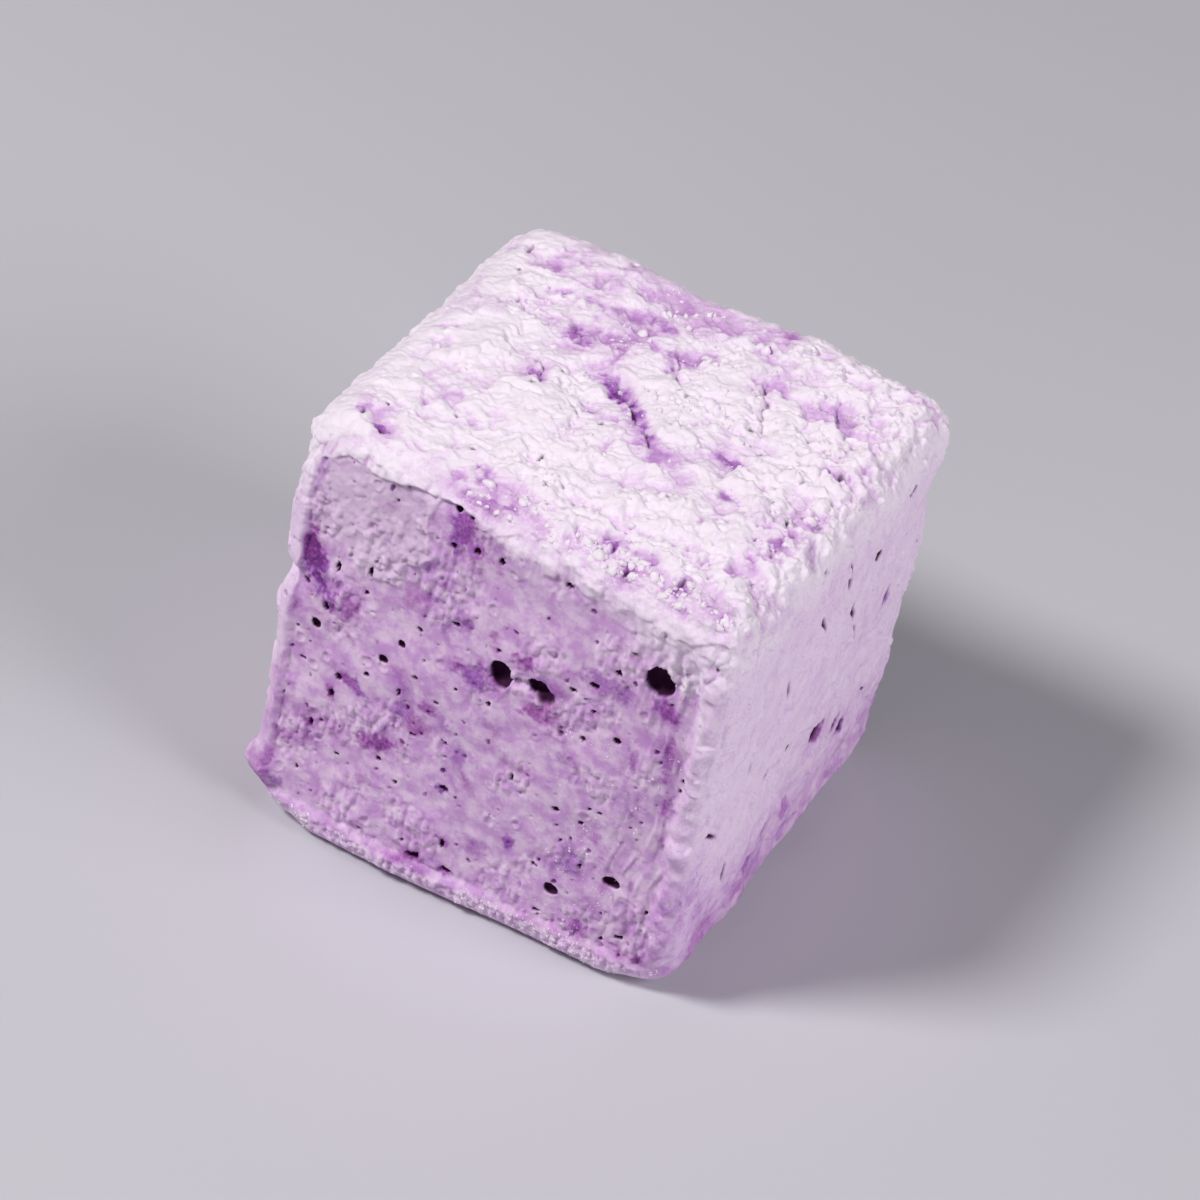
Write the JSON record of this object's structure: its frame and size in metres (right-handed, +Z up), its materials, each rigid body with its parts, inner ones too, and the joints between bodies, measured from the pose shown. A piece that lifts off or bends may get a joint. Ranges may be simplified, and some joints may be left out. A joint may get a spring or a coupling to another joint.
{
  "type": "marshmallow",
  "caption": "Hand-cut cube of berry marshmallow: marbled lilac sugar foam with open bubbles on a bare cut face, and a pale powdered crust round its other sides.",
  "frame": {"origin": "middle of the flat base, on the surface the marshmallow rests on", "axes": "+Z up through the powdered top, -Y out of the bare cut face, +X out of the right side as seen when facing the cut face"},
  "size_m": [0.032, 0.0322, 0.0303],
  "materials": {
    "sugar_foam": "matte lilac sugar foam marbled with berry purple, dusted with pale starch powder"
  },
  "bodies": {
    "root": {"marshmallow": "sugar_foam"}
  },
  "joints": []
}
